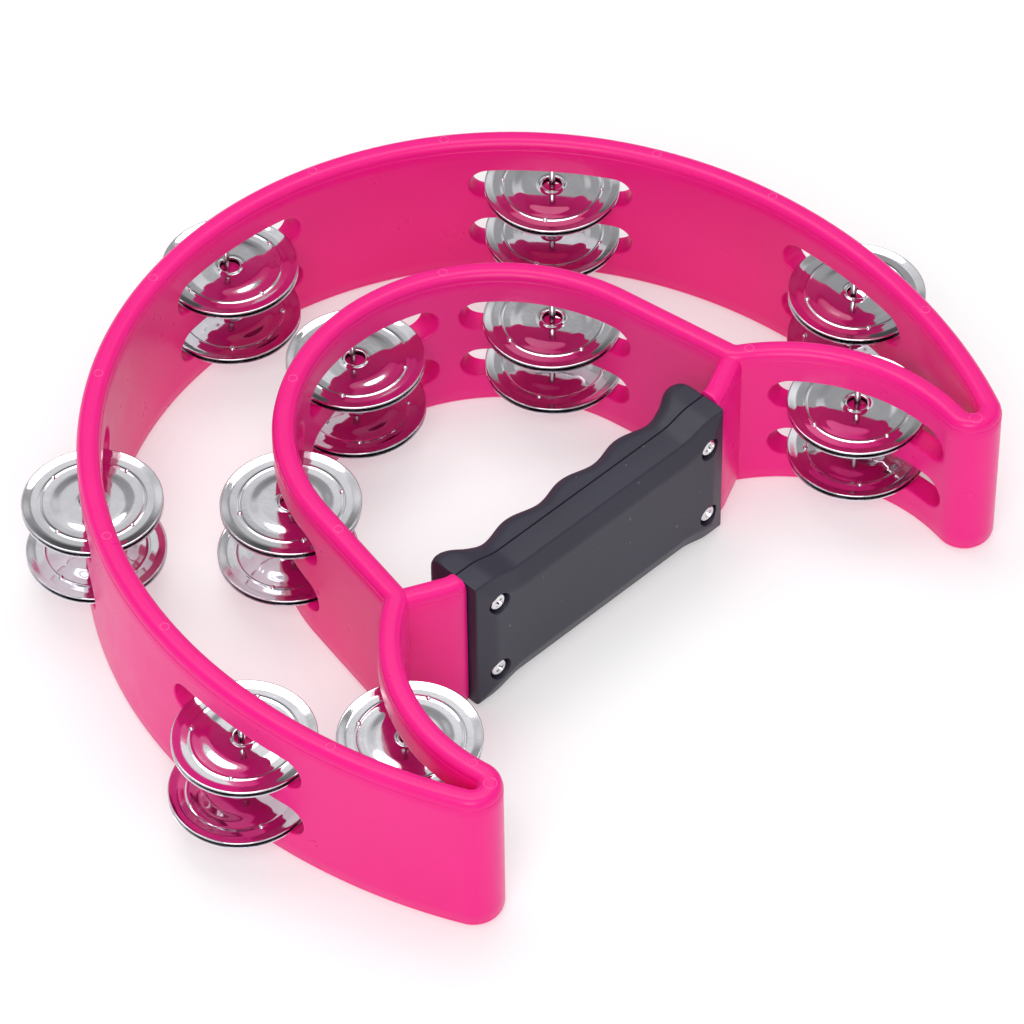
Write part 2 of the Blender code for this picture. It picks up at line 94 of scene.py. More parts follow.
# Cross bar
STUB_BEND_X = 48.5 * MM
STUB_END_X = 46.35 * MM
STUB_INNER_Y = -12.1 * MM
STUB_SINK = 1.0 * MM
CORE_Y = -11.25 * MM
CORE_HALF = 1.9 * MM
CORE_PAST_BEND = 0.6 * MM
CORE_INSET = 5.4 * MM

# Pins
PIN_RADIUS = 0.9 * MM
PIN_END = 0.4 * MM
PIN_EDGE = 0.12 * MM
PIN_HOLE_RADIUS = 1.2 * MM
PIN_HOLE_DEPTH = 9 * MM

# Jingles
JINGLE_STEPS = 96
JINGLE_SHEET = 0.42  # in millimetres, like the two below
CENTRE_RISE = 0.27
CREASE_RADIUS = 14.0
PIP_COUNT = 4
PIP_RADIUS = 0.7 * MM
PIP_PLACE = CREASE_RADIUS * MM
# FACING_*: which faces look towards the twin; they take the dark chrome that paints the shade in the pair's
# gap
FACING_FROM = 3.6 * MM
FACING_TO = 18.0 * MM
FACING_NORMAL = -0.6
UNEVENNESS = 0.035 * MM
LEAN_DEGREES = 1.0


def smoothstep(low, high, value):
    share = np.clip((value - low) / (high - low), 0.0, 1.0)
    return share * share * (3 - 2 * share)


# ---------------------------------------------------------------- plan of the walls

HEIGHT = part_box("frame")[1].z
PLAN_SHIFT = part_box("frame")[1].y - (OUTER_MEAN + sum(OUTER_COSINES.values()) + WALL_HALF)


def outer_line(angles):
    """Points of the outer wall's middle line, at angles from +Y towards +X."""
    radius = OUTER_MEAN + sum(size * np.cos(order * angles) for order, size in OUTER_COSINES.items())
    return np.stack([radius * np.sin(angles), radius * np.cos(angles) + PLAN_SHIFT], 1)


def arc_line(centre, radius, start, end):
    count = int(abs(end - start) * radius / PLAN_STEP) + 2
    turns = np.linspace(start, end, count)
    return centre + radius * np.stack([np.cos(turns), np.sin(turns)], 1)


def angle_of(vector):
    return math.atan2(vector[1], vector[0])


def right_half():
    """The right half of the walls' middle line: outer arc, tip, horn, cusp and central arc."""
    outer = outer_line(np.linspace(0.0, TIP_ANGLE, OUTER_SAMPLES))
    tangent = outer[-1] - outer[-2]
    tangent /= np.linalg.norm(tangent)
    tip = outer[-1] + TIP_RADIUS * np.array([tangent[1], -tangent[0]])
    cusp = np.array([CUSP_X, CUSP_Y + PLAN_SHIFT])
    central = np.array([0.0, CENTRAL_Y + PLAN_SHIFT])
    span = tip - cusp
    length = np.linalg.norm(span)
    reach = HORN_RADIUS + TIP_RADIUS
    along = (length**2 + HORN_RADIUS**2 - reach**2) / (2 * length)
    aside = math.sqrt(HORN_RADIUS**2 - along**2)
    unit = span / length
    horn = cusp + along * unit + aside * np.array([unit[1], -unit[0]])
    to_cusp = cusp - central
    touch = angle_of(to_cusp) + math.acos(CENTRAL_RADIUS / np.linalg.norm(to_cusp))
    top_of_run = central + CENTRAL_RADIUS * np.array([math.cos(touch), math.sin(touch)])
    run = cusp - top_of_run
    run /= np.linalg.norm(run)
    beside = top_of_run + CUSP_FILLET * np.array([-run[1], run[0]]) - horn
    half_b = beside @ run
    rest = beside @ beside - (HORN_RADIUS + CUSP_FILLET) ** 2
    down = -half_b - math.sqrt(half_b**2 - rest)
    fillet = beside + run * down + horn
    to_fillet = (fillet - horn) / np.linalg.norm(fillet - horn)
    run_end = top_of_run + run * down
    horn_angle = angle_of(tip - horn)
    fillet_start, fillet_end = (angle_of(ray) % FULL_TURN for ray in (-to_fillet, run_end - fillet))
    pieces = [
        outer,
        arc_line(tip, TIP_RADIUS, angle_of(outer[-1] - tip), horn_angle - math.pi),
        arc_line(horn, HORN_RADIUS, horn_angle, angle_of(to_fillet)),
        arc_line(fillet, CUSP_FILLET, fillet_start, fillet_end),
        np.linspace(run_end, top_of_run, RUN_SAMPLES),
        arc_line(central, CENTRAL_RADIUS, touch, math.pi / 2),
    ]
    return np.concatenate([pieces[0]] + [piece[1:] for piece in pieces[1:]])


class Loop:
    """The closed middle line of the walls, clockwise, measured from the right tip."""

    def __init__(self):
        right = right_half()
        left = (right * [-1, 1])[::-1][1:-1]
        points = np.concatenate([right, left])
        points = np.roll(points, -int(np.argmin(points[:, 1] - 1e-3 * points[:, 0])), axis=0)
        points = np.concatenate([points, points[:1]])
        places = np.concatenate([[0], np.cumsum(np.linalg.norm(np.diff(points, axis=0), axis=1))])
        self.length = places[-1]
        self.s = np.linspace(0.0, self.length, int(self.length / PLAN_STEP) + 1)
        self.points = np.stack([np.interp(self.s, places, points[:, k]) for k in (0, 1)], 1)
        ring = self.points[:-1]
        ahead = np.roll(ring, -3, axis=0) - np.roll(ring, 3, axis=0)
        ahead /= np.linalg.norm(ahead, axis=1)[:, None]
        self.ahead = np.concatenate([ahead, ahead[:1]])
        self.out = np.stack([-self.ahead[:, 1], self.ahead[:, 0]], 1)
        turn = np.unwrap(np.arctan2(self.ahead[:, 1], self.ahead[:, 0]))
        self.bend = np.abs(np.gradient(turn, self.s))

    def at(self, s, across):
        """Plan points at arc lengths s, at distances across from the middle line."""
        s = np.mod(s, self.length)
        place = [np.interp(s, self.s, self.points[:, k]) for k in (0, 1)]
        side = [np.interp(s, self.s, self.out[:, k]) for k in (0, 1)]
        size = np.hypot(*side)
        return np.stack([place[k] + across * side[k] / size for k in (0, 1)], -1)

    def nearest(self, point):
        return self.s[int(np.argmin(np.linalg.norm(self.points - point, axis=1)))]


class Station:
    """One pin's place on the loop, and the patch of wall around its slots."""

    def __init__(self, loop, name):
        low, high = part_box("pin_" + name)
        self.name = name
        self.place = np.array([(low.x + high.x) / 2, (low.y + high.y) / 2])
        self.s = loop.nearest(self.place)
        self.outer = name.startswith("outer")
        inner_kind = "horn" if name in ("inner1", "inner5") else "central"
        self.length = SLOT_LENGTHS["outer" if self.outer else inner_kind]
        self.shift = SLOT_SHIFTS.get(name, 0.0)
        index = int(np.argmin(np.abs(loop.s - self.s)))
        self.along = loop.ahead[index]
        self.window = np.linspace(self.s - WINDOW_REACH, self.s + WINDOW_REACH, WINDOW_SAMPLES)
        reach = self.length / 2 + PATCH_MARGIN
        self.start = min(self.s_of(loop, -reach, face) for face in (-WALL_HALF, WALL_HALF))
        self.end = max(self.s_of(loop, reach, face) for face in (-WALL_HALF, WALL_HALF))
        self.columns = int((self.end - self.start) / PATCH_COLUMN)

    def u_of(self, loop, s, across):
        """Distance along the station's own direction from its slots' middle."""
        return (loop.at(s, across) - self.place) @ self.along - self.shift

    def s_of(self, loop, u, across):
        """Arc length at which the wall's layer at `across` is u along the station's own direction."""
        return np.interp(u, self.u_of(loop, self.window, across), self.window)


def column_places(loop, stations):
    """Arc lengths of the wall's columns, with each station's first and last column."""
    weight = np.maximum(1 / COLUMN_STEP, loop.bend / COLUMN_TURN)
    total = np.concatenate([[0], np.cumsum((weight[1:] + weight[:-1]) / 2 * np.diff(loop.s))])
    places, spans, cursor = [], {}, 0.0
    for station in sorted(stations, key=lambda item: item.start) + [None]:
        stop = station.start if station else loop.length
        first, last = np.interp([cursor, stop], loop.s, total)
        count = max(1, math.ceil(last - first))
        places += list(np.interp(np.linspace(first, last, count + 1)[:-1], total, loop.s))
        if station:
            spans[station.name] = (len(places), len(places) + station.columns)
            places += list(np.linspace(station.start, station.end, station.columns + 1)[:-1])
            cursor = station.end
    return np.array(places), spans


def slot_centres():
    return [HEIGHT / 2 - SLOT_PITCH / 2, HEIGHT / 2 + SLOT_PITCH / 2]


def rim_side(height):
    """One side of the section, from the rim's middle out and down to the wall's face."""
    top = height - RIM_SINK
    cap = WALL_HALF - LEDGE_WIDTH
    turns = np.radians(np.linspace(90, 0, CAP_STEPS + 1))
    points = [(0.0, top), ((cap - CAP_RADIUS) / 2, top)]
    points += [
        (cap - CAP_RADIUS + CAP_RADIUS * math.cos(turn), top - CAP_RADIUS + CAP_RADIUS * math.sin(turn))
        for turn in turns
    ]
    side = top - CAP_RADIUS - CAP_SIDE
    points += [(cap, side), (cap + LEDGE_WIDTH * LEDGE_BEND[0], side - LEDGE_DROP * LEDGE_BEND[1])]
    return points + [(WALL_HALF, side - LEDGE_DROP)]


def face_rows(low, high):
    """Heights of the wall's rows from high to low, which hold the edges of the slot patches."""
    reach = SLOT_HALF_HEIGHT + PATCH_MARGIN
    lower, upper = slot_centres()
    rows = [high, (high + upper + reach) / 2]
    rows += list(np.linspace(upper + reach, upper - reach, PATCH_ROWS + 1))
    rows += [HEIGHT / 2]
    rows += list(np.linspace(lower + reach, lower - reach, PATCH_ROWS + 1))
    return rows + [(low + lower - reach) / 2, low]


class Section:
    """The wall's closed outline: distances across it and heights."""

    def __init__(self, low, high, slots=True):
        rim = [(across, height + low) for across, height in rim_side(high - low)]
        top = rim[-1][1]
        bottom = low + high - top
        self.rows = face_rows(bottom, top) if slots else list(np.linspace(top, bottom, PLAIN_ROWS))
        foot = [(across, low + high - height) for across, height in reversed(rim[:-1])]
        side = rim[:-1] + [(WALL_HALF, row) for row in self.rows] + foot
        self.first = len(rim) - 1
        self.half = len(side)
        outline = side + [(-across, height) for across, height in reversed(side[1:-1])]
        self.across = np.array([point[0] for point in outline])
        self.z = np.array([point[1] for point in outline])

    def index(self, row, inner):
        """Place in the outline of one of the face's rows, on the inner or the outer face."""
        place = self.first + row
        return 2 * self.half - 2 - place if inner else place

    def row_near(self, height):
        return int(np.argmin(np.abs(np.array(self.rows) - height)))


def mesh_object(name, points, faces):
    mesh = bpy.data.meshes.new(name)
    mesh.from_pydata([tuple(point) for point in points], [], faces)
    mesh.update()
    item = bpy.data.objects.new(name, mesh)
    bpy.context.scene.collection.objects.link(item)
    return item


def tidy_mesh(item, merge=1e-7):
    """Removes unused vertices and turns every face outwards."""
    shape = bmesh.new()
    shape.from_mesh(item.data)
    bmesh.ops.delete(shape, geom=[v for v in shape.verts if not v.link_faces], context="VERTS")
    bmesh.ops.remove_doubles(shape, verts=shape.verts, dist=merge)
    bmesh.ops.recalc_face_normals(shape, faces=shape.faces)
    if shape.calc_volume(signed=True) < 0:
        bmesh.ops.reverse_faces(shape, faces=shape.faces)
    shape.to_mesh(item.data)
    shape.free()


def smooth(item, degrees=32.0):
    item.data.polygons.foreach_set("use_smooth", [True] * len(item.data.polygons))
    item.data.set_sharp_from_angle(angle=math.radians(degrees))


def boolean(item, other, operation):
    """Applies a Boolean and removes the other object."""
    modifier = item.modifiers.new("join", "BOOLEAN")
    modifier.operation = operation
    modifier.object = other
    modifier.solver = "MANIFOLD"
    apply_modifiers(item)
    bpy.data.objects.remove(other)


def apply_modifiers(item):
    bpy.context.view_layer.update()
    graph = bpy.context.evaluated_depsgraph_get()
    mesh = bpy.data.meshes.new_from_object(item.evaluated_get(graph), depsgraph=graph)
    item.modifiers.clear()
    old = item.data
    item.data = mesh
    mesh.name = old.name
    bpy.data.meshes.remove(old)


def joined(name, items):
    """One object of several, in place of them."""
    shape = bmesh.new()
    for item in items:
        item.data.transform(item.matrix_world)
        shape.from_mesh(item.data)
        bpy.data.objects.remove(item)
    mesh = bpy.data.meshes.new(name)
    shape.to_mesh(mesh)
    shape.free()
    result = bpy.data.objects.new(name, mesh)
    bpy.context.scene.collection.objects.link(result)
    return result


def slot_rings():
    """(distance outside the slot's outline, distance across the wall) of the rings through a slot."""
    turns = np.radians(np.linspace(0, 90, SLOT_FILLET_STEPS + 1))
    face = [(SLOT_FACE_RING, WALL_HALF)]
    face += [
        (SLOT_FILLET * (1 - math.sin(turn)), WALL_HALF - SLOT_FILLET * (1 - math.cos(turn)))
        for turn in turns
    ]
    middle = [(0.0, WALL_HALF / 3), (0.0, -WALL_HALF / 3)]
    return face + middle + [(outside, -across) for outside, across in reversed(face)]


def add_slot(loop, station, centre, section, span, points, faces):
    """Fills the hole that the grid leaves around one slot, through the wall, with filleted edges."""
    reach = SLOT_HALF_HEIGHT + PATCH_MARGIN
    top, bottom = section.row_near(centre + reach), section.row_near(centre - reach)
    first, last = span
    border = [(column, top) for column in range(first, last)]
    border += [(last, row) for row in range(top, bottom)]
    border += [(column, bottom) for column in range(last, first, -1)]
    border += [(first, row) for row in range(bottom, top, -1)]
    count = len(section.z)
    columns = np.linspace(station.start, station.end, station.columns + 1)
    places = np.array([columns[column - first] for column, _ in border])
    u = station.u_of(loop, places, 0.0)
    v = np.array([section.rows[row] for _, row in border]) - centre
    flat = station.length / 2 - SLOT_HALF_HEIGHT
    core = np.clip(u, -flat, flat)
    away = np.stack([u - core, v], 1)
    away /= np.linalg.norm(away, axis=1)[:, None]
    previous = [column * count + section.index(row, False) for column, row in border]
    size = len(border)
    for outside, across in slot_rings():
        ring_u = core + (SLOT_HALF_HEIGHT + outside) * away[:, 0]
        ring_v = (SLOT_HALF_HEIGHT + outside) * away[:, 1]
        plan = loop.at(station.s_of(loop, ring_u, across), across)
        start = len(points)
        points.extend((x, y, centre + z) for (x, y), z in zip(plan, ring_v))
        here = list(range(start, start + size))
        for k in range(size):
            beyond = (k + 1) % size
            faces.append((previous[k], previous[beyond], here[beyond], here[k]))
        previous = here
    inner = [column * count + section.index(row, True) for column, row in border]
    for k in range(size):
        beyond = (k + 1) % size
        faces.append((previous[k], previous[beyond], inner[beyond], inner[k]))


def build_wall(loop, stations):
    """The whole ribbon of wall as one closed grid, with a filleted hole at each slot."""
    places, spans = column_places(loop, stations)
    section = Section(0.0, HEIGHT)
    count = len(section.z)
    columns = len(places)
    points = []
    for s in places:
        plan = loop.at(np.full(count, s), section.across)
        points.extend((x, y, z) for (x, y), z in zip(plan, section.z))
    reach = SLOT_HALF_HEIGHT + PATCH_MARGIN
    holes = set()
    for first, last in spans.values():
        for centre in slot_centres():
            top, bottom = section.row_near(centre + reach), section.row_near(centre - reach)
            for column in range(first, last):
                for row in range(top, bottom):
                    holes.add((column, section.index(row, False)))
                    holes.add((column, section.index(row + 1, True)))
    faces = []
    for column in range(columns):
        beyond = (column + 1) % columns
        here, there = column * count, beyond * count
        for k in range(count):
            if (column, k) not in holes:
                after = (k + 1) % count
                faces.append((here + k, here + after, there + after, there + k))
    for station in stations:
        for centre in slot_centres():
            add_slot(loop, station, centre, section, spans[station.name], points, faces)
    wall = mesh_object("frame_shell", points, faces)
    tidy_mesh(wall)
    return wall


def build_stub(side):
    """One sloping end of the cross bar, with the same rim as the walls and a rounded free end."""
    line = [(CUSP_X - 1.2 * MM, CUSP_Y - 0.3 * MM), (STUB_BEND_X + 1.5 * MM, STUB_INNER_Y + 0.65 * MM)]
    line += [(STUB_BEND_X, STUB_INNER_Y + 0.15 * MM), (STUB_BEND_X - 1.2 * MM, STUB_INNER_Y)]
    line += [(STUB_END_X + back, STUB_INNER_Y) for back in (0.35 * MM, 0.1 * MM, 0.0)]
    insets = [0.0, 0.0, 0.0, 0.0, 0.0, 0.12 * MM, 0.35 * MM]
    points = np.array([(side * x, y + PLAN_SHIFT) for x, y in line])
    section = Section(STUB_SINK, HEIGHT - STUB_SINK, slots=False)
    middle = HEIGHT / 2
    vertices, faces = [], []
    count = len(section.z)
    for index, point in enumerate(points):
        before, after = points[max(0, index - 1)], points[min(len(points) - 1, index + 1)]
        ahead = (after - before) / np.linalg.norm(after - before)
        out = np.array([-ahead[1], ahead[0]])
        inset = insets[index]
        across = section.across * (1 - inset / WALL_HALF)
        height = middle + (section.z - middle) * (1 - inset / middle)
        vertices.extend((*(point + out * a), z) for a, z in zip(across, height))
    for index in range(len(points) - 1):
        for k in range(count):
            after = (k + 1) % count
            here, beyond = index * count, (index + 1) * count
            faces.append((here + k, here + after, beyond + after, beyond + k))
    faces.append(tuple(range(count)))
    faces.append(tuple((len(points) - 1) * count + k for k in reversed(range(count))))
    stub = mesh_object("stub", vertices, faces)
    tidy_mesh(stub)
    return stub


def prism(name, outline, low, high):
    """An upright prism on a plan outline."""
    count = len(outline)
    points = [(x, y, z) for z in (low, high) for x, y in outline]
    faces = [tuple(range(count)), tuple(range(2 * count - 1, count - 1, -1))]
    faces += [(k, k + count, (k + 1) % count + count, (k + 1) % count) for k in range(count)]
    item = mesh_object(name, points, faces)
    tidy_mesh(item)
    return item


def circle(x, y, radius, sides):
    turns = [FULL_TURN * k / sides for k in range(sides)]
    return [(x + radius * math.cos(turn), y + radius * math.sin(turn)) for turn in turns]


def build_frame(loop, stations):
    shell = build_wall(loop, stations)
    for side in (-1, 1):
        boolean(shell, build_stub(side), "UNION")
    low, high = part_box("grip_front")[0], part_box("grip_rear")[1]
    middle_y = PLAN_SHIFT + CORE_Y
    ends = STUB_BEND_X + CORE_PAST_BEND
    outline = [(-ends, middle_y - CORE_HALF), (ends, middle_y - CORE_HALF)]
    outline += [(ends, middle_y + CORE_HALF), (-ends, middle_y + CORE_HALF)]
    boolean(shell, prism("core", outline, low.z + CORE_INSET, high.z - CORE_INSET), "UNION")
    holes = [
        prism("hole", circle(*station.place, PIN_HOLE_RADIUS, 24), -MM, PIN_HOLE_DEPTH)
        for station in stations
    ]
    boolean(shell, joined("holes", holes), "DIFFERENCE")
    smooth(shell)
    return shell


# ---------------------------------------------------------------- turned pieces


def turned(name, profile, steps, closed=True):
    """A profile of (radius, height) points turned about Z. Open profiles end on the axis."""
    profile = np.array(profile)
    count = len(profile)
    turns = FULL_TURN * np.arange(steps) / steps
    points = [
        (radius * math.cos(turn), radius * math.sin(turn), height)
        for turn in turns
        for radius, height in profile
    ]
    faces = []
    last = count if closed else count - 1
    for step in range(steps):
        here, beyond = step * count, (step + 1) % steps * count
        for k in range(last):
            after = (k + 1) % count
            faces.append((here + k, here + after, beyond + after, beyond + k))
    item = mesh_object(name, points, faces)
    tidy_mesh(item, merge=1e-6)
    return item


def jingle_top():
    """(radius, height) of a jingle's upper side in millimetres, from its hole's lip to its edge."""
    radius = np.concatenate(
        [
            np.linspace(3.9, 8.0, 6),
            np.linspace(8.4, 13.0, 12),
            np.linspace(13.2, 14.8, 9),
            np.linspace(15.1, 17.1, 9),
            np.linspace(17.4, 18.6, 4),
        ]
    )
    step = CENTRE_RISE * (1 - smoothstep(8.4, 11.6, radius))
    slope = 0.08 * np.clip((radius - 11.4) / 5.0, 0, 1)
    crease = 0.12 * np.exp(-(((radius - CREASE_RADIUS) / 0.34) ** 2))
    over = np.maximum(radius - 16.35, 0.0)
    band = 0.19 * np.sqrt(over**2 + 0.3**2) - 0.057
    return radius, step + slope + crease + band


def jingle_profile():
    """The closed section of a pressed jingle, centre low: lip, flat, slope, crease and flange."""
    radius, height = jingle_top()
    lip = [(2.8, 0.1), (2.8, 0.62), (2.88, 0.76), (3.05, 0.8), (3.25, 0.76), (3.5, 0.6), (3.7, 0.49)]
    lip = [(r, z + CENTRE_RISE) for r, z in lip]
    top = lip + [(r, z + JINGLE_SHEET) for r, z in zip(radius, height)]
    rise = height[-1]
    crest = rise + JINGLE_SHEET
    edge = [(18.8, crest + 0.02), (18.93, crest - 0.03), (18.99, crest - 0.13)]
    edge += [(19.0, rise + 0.16), (18.93, rise + 0.04), (18.75, rise - 0.01)]
    under = list(zip(radius[::-1], height[::-1]))
    under += [(3.5, CENTRE_RISE + 0.02), (3.1, CENTRE_RISE + 0.05)]
    return np.array(top + edge + under) * MM


def pip_profile():
    """The section of one small dome, pressed up between the flat and the flange."""
    turns = np.radians(np.linspace(90, -20, 7))
    points = [(PIP_RADIUS * math.cos(t), 0.6 * PIP_RADIUS * math.sin(t)) for t in turns]
    return points + [(0.0, points[-1][1])]


def build_jingle_master():
    """One jingle about the origin, with its pips. The faces towards its twin take the second material,
    which paints shade on them for the gap between the pair.
    """
    items = [turned("jingle", jingle_profile(), JINGLE_STEPS)]
    radius, height = jingle_top()
    seat = (np.interp(PIP_PLACE / MM, radius, height) + JINGLE_SHEET) * MM
    for x, y in circle(0.0, 0.0, PIP_PLACE, PIP_COUNT):
        pip = turned("pip", pip_profile(), 14, closed=False)
        pip.matrix_world = Matrix.Translation((x, y, seat))
        items.append(pip)
    bpy.context.view_layer.update()
    master = joined("jingle_master", items)
    for face in master.data.polygons:
        radius = math.hypot(face.center.x, face.center.y)
        # Faces towards the twin get the second material, which paints shade on them
        if face.normal.z < FACING_NORMAL and FACING_FROM < radius < FACING_TO:
            face.material_index = 1
    return master


def place_jingle(master, name, tilt, rng):
    """A copy of the master where its CAD node is, with the slight unevenness of a pressed disc."""
    low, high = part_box(name)
    over = name.endswith("_over")
    data = master.data.copy()
    points = np.empty(len(data.vertices) * 3)
    data.vertices.foreach_get("co", points)
    points = points.reshape(-1, 3)
    radius = np.hypot(points[:, 0], points[:, 1])
    turn = np.arctan2(points[:, 1], points[:, 0])
    bulge = smoothstep(4 * MM, 17 * MM, radius) * UNEVENNESS
    for order in (2, 3, 5):
        size = rng.uniform(0.3, 1.0) / order * 1.6
        points[:, 2] += bulge * size * np.cos(order * turn + rng.uniform(0, 6.28))
    spin = Matrix.Rotation(rng.uniform(0, FULL_TURN), 4, "Z")
    flip = Matrix.Identity(4) if over else Matrix.Rotation(math.pi, 4, "X")
    seat = low.z if over else high.z
    centre = Vector(((low.x + high.x) / 2, (low.y + high.y) / 2, seat))
    matrix = Matrix.Translation(centre) @ tilt @ flip @ spin
    turned_points = points @ np.array(matrix.to_3x3()).T + np.array(matrix.translation)
    data.vertices.foreach_set("co", turned_points.ravel())
    data.name = "shown_" + name
    item = bpy.data.objects.new("shown_" + name, data)
    bpy.context.scene.collection.objects.link(item)
    data.update()
    smooth(item, 40.0)
    return item


def build_jingles(stations, *materials):
    rng = random.Random(11)
    master = build_jingle_master()
    for station in stations:
        for row in ("lower", "upper"):
            lean = math.radians(rng.uniform(-LEAN_DEGREES, LEAN_DEGREES))
            tilt = Matrix.Rotation(lean, 4, Vector((*station.along, 0.0)))
            for layer in ("under", "over"):
                name = f"jingle_{station.name}_{row}_{layer}"
                item = place_jingle(master, name, tilt, rng)
                for material in materials:
                    item.data.materials.append(material)
                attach(item, name)
                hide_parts(name)
    bpy.data.objects.remove(master)


def build_pins(stations, material):
    for station in stations:
        node = "pin_" + station.name
        low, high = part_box(node)
        length = high.z - low.z
        end = [(0.0, 0.0), (PIN_RADIUS * 0.6, 0.0), (PIN_RADIUS * 0.9, PIN_EDGE), (PIN_RADIUS, PIN_END)]
        profile = end + [(PIN_RADIUS, length * k / 6) for k in range(1, 6)]
        profile += [(radius, length - height) for radius, height in reversed(end)]
        pin = turned("shown_" + node, profile, 28, closed=False)
        pin.data.transform(Matrix.Translation((station.place[0], station.place[1], low.z)))
        smooth(pin, 50.0)
        finish_piece(pin, material, "pin_steel", node)


def finish_piece(item, material, slot, *nodes):
    """Gives a piece of the fixed body its look, and hides the CAD nodes that it stands for."""
    item.data.materials.clear()
    item.data.materials.append(material)
    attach(item, ROOT)
    if nodes:
        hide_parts(*nodes)


# ---------------------------------------------------------------- grip

GRIP_HALF_LENGTH = 46.0 * MM
GRIP_END_BEVEL = 5.6 * MM
GRIP_LONG_BEVEL = 5.8 * MM
GRIP_WAIST = 2.2 * MM
GRIP_WAIST_START = 30 * MM
GRIP_WAIST_END = 41 * MM
GRIP_BEVEL_DEPTH = 2.2 * MM
EDGE_ROUND = 0.45 * MM
SEAM_CHAMFER = 0.16 * MM
GRIP_BACK_Y = -3.1 * MM
BACK_ROUND = 4.5 * MM
END_ROUND = 0.6 * MM
GROOVE_PITCH = 20.4 * MM
GROOVE_DEPTH = 1.0 * MM
LIP_RISE = 4.2 * MM
LIP_LENGTH = 9.5 * MM
LIP_CORNER = 3.0 * MM
RECESS_RADIUS = 3.3 * MM
RECESS_DEPTH = 2.6 * MM
SCREW_HEAD_RADIUS = 2.6 * MM
SCREW_HEAD = 2.0 * MM
SCREW_DOME = 0.75 * MM
SHANK_RADIUS = 1.4 * MM


def graded(low, high, step, fine):
    """Places from low to high, close together within `fine` of each end."""
    near = np.array([0.0, 0.06, 0.16, 0.3, 0.5, 0.75, 1.0]) * fine
    count = max(2, int((high - low - 2 * fine) / step))
    middle = np.linspace(low + fine, high - fine, count + 1)
    return np.concatenate([low + near[:-1], middle, (high - near[:-1])[::-1]])


def soft_min(a, b, width):
    """The lesser of two values, blended where they differ by less than width."""
    share = np.clip(0.5 + 0.5 * (b - a) / width, 0.0, 1.0)
    return b * (1 - share) + a * share - width * share * (1 - share)


def grip_waist(x):
    """How far the grip's long edges come in at x."""
    share = np.clip((np.abs(x) - GRIP_WAIST_START) / (GRIP_WAIST_END - GRIP_WAIST_START), 0.0, 1.0)
    return GRIP_WAIST * (1 + np.cos(np.pi * share)) / 2


def build_grip_front():
    """The front half: a face raised by bevels, rounded edges, and long sides that come in at the waist."""
    low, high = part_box("grip_front")
    xs = graded(low.x, high.x, 0.8 * MM, 1.0 * MM)
    zs = graded(low.z, high.z, 0.7 * MM, 1.0 * MM)
    x, z = np.meshgrid(xs, zs, indexing="ij")
    middle, half = (low.z + high.z) / 2, (high.z - low.z) / 2
    z = middle + (z - middle) * (1 - grip_waist(x) / half)
    end = np.minimum(x - low.x, high.x - x)
    side = half - grip_waist(x) - np.abs(z - middle)
    raised = soft_min(end / GRIP_END_BEVEL, side / GRIP_LONG_BEVEL, 0.10)
    raised = soft_min(raised, np.ones_like(raised), 0.09)
    y = low.y + GRIP_BEVEL_DEPTH * (1 - raised)
    for distance in (end, side):
        inside = np.clip(EDGE_ROUND - distance, 0.0, EDGE_ROUND)
        y += EDGE_ROUND - np.sqrt(np.maximum(EDGE_ROUND**2 - inside**2, 0.0))
    nx, nz = x.shape
    points = [(x[i, j], y[i, j], z[i, j]) for i in range(nx) for j in range(nz)]
    faces = [
        (i * nz + j, (i + 1) * nz + j, (i + 1) * nz + j + 1, i * nz + j + 1)
        for i in range(nx - 1)
        for j in range(nz - 1)
    ]
    border = [(i, 0) for i in range(nx - 1)] + [(nx - 1, j) for j in range(nz - 1)]
    border += [(i, nz - 1) for i in range(nx - 1, 0, -1)] + [(0, j) for j in range(nz - 1, 0, -1)]
    previous = [i * nz + j for i, j in border]
    centre_x, centre_z = (low.x + high.x) / 2, (low.z + high.z) / 2
    for back, inset in ((0.5 * MM, 0.0), (0.12 * MM, 0.0), (0.0, SEAM_CHAMFER)):
        start = len(points)
        for i, j in border:
            px, pz = x[i, j], z[i, j]
            px -= math.copysign(inset, px - centre_x) if i in (0, nx - 1) else 0.0
            pz -= math.copysign(inset, pz - centre_z) if j in (0, nz - 1) else 0.0
            points.append((px, high.y - back, pz))
        here = list(range(start, start + len(border)))
        for k in range(len(border)):
            beyond = (k + 1) % len(border)
            faces.append((previous[k], previous[beyond], here[beyond], here[k]))
        previous = here
    faces.append(tuple(previous))
    front = mesh_object("grip_front_shell", points, faces)
    tidy_mesh(front)
    cutters = []
    for k in range(1, 5):
        screw_low, screw_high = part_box(f"grip_screw_{k}")
        centre = (screw_low + screw_high) / 2
        profile = [(0.0, RECESS_DEPTH), (RECESS_RADIUS, RECESS_DEPTH), (RECESS_RADIUS, 0.25 * MM)]
        profile += [(3.36 * MM, 0.1 * MM), (3.5 * MM, 0.0), (3.6 * MM, -1 * MM), (0.0, -1 * MM)]
        cutter = turned("recess", profile, 40, closed=False)
        place = Matrix.Translation((centre.x, low.y, centre.z))
        cutter.matrix_world = place @ Matrix.Rotation(-math.pi / 2, 4, "X")
        cutters.append(cutter)
    bpy.context.view_layer.update()
    boolean(front, joined("recesses", cutters), "DIFFERENCE")
    smooth(front, 30.0)
    return front


